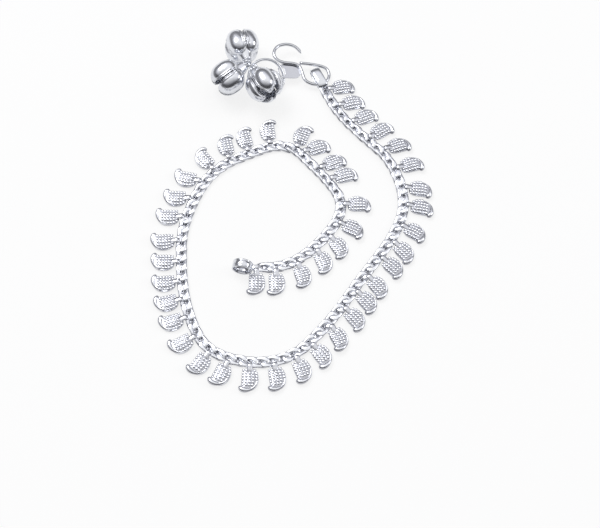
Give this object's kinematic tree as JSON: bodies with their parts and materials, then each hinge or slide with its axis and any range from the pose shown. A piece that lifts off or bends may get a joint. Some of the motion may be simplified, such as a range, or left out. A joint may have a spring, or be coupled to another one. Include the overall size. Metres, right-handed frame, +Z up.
{
  "type": "payal anklet",
  "caption": "Silver payal anklet lying open in a spiral: curb chain fringed with beaded paisley drops, band ring at one end, S-hook with lobed ghungroo bells at the other.",
  "frame": {"origin": "on the surface it lies on, under the middle of the anklet's bounding box", "axes": "+Z up from the surface; +Y from the camera's side of the spiral to the hook and bells, along the longest extent; +X to the right"},
  "size_m": [0.073, 0.1032, 0.0121],
  "materials": {
    "silver_chain": "polished silver curb chain",
    "silver_cast": "cast silver with a fine beaded face and polished rims",
    "silver_polished": "polished silver"
  },
  "bodies": {
    "root": {"chain": "silver_chain", "end_ring": "silver_polished", "s_hook": "silver_polished", "bail": "silver_polished", "jump_ring": "silver_polished", "bell_ring": "silver_polished", "drop_01": "silver_cast", "drop_02": "silver_cast", "drop_03": "silver_cast", "drop_04": "silver_cast", "drop_05": "silver_cast", "drop_06": "silver_cast", "drop_07": "silver_cast", "drop_08": "silver_cast", "drop_09": "silver_cast", "drop_10": "silver_cast", "drop_11": "silver_cast", "drop_12": "silver_cast", "drop_13": "silver_cast", "drop_14": "silver_cast", "drop_15": "silver_cast", "drop_16": "silver_cast", "drop_17": "silver_cast", "drop_18": "silver_cast", "drop_19": "silver_cast", "drop_20": "silver_cast", "drop_21": "silver_cast", "drop_22": "silver_cast", "drop_23": "silver_cast", "drop_24": "silver_cast", "drop_25": "silver_cast", "drop_26": "silver_cast", "drop_27": "silver_cast", "drop_28": "silver_cast", "drop_29": "silver_cast", "drop_30": "silver_cast", "drop_31": "silver_cast", "drop_32": "silver_cast", "drop_33": "silver_cast", "drop_34": "silver_cast", "drop_35": "silver_cast", "drop_36": "silver_cast", "drop_37": "silver_cast", "drop_38": "silver_cast", "drop_39": "silver_cast", "drop_40": "silver_cast", "drop_41": "silver_cast", "drop_42": "silver_cast", "drop_43": "silver_cast", "drop_44": "silver_cast", "drop_45": "silver_cast", "bell_1": "silver_polished", "bell_2": "silver_polished", "bell_3": "silver_polished"}
  },
  "joints": []
}
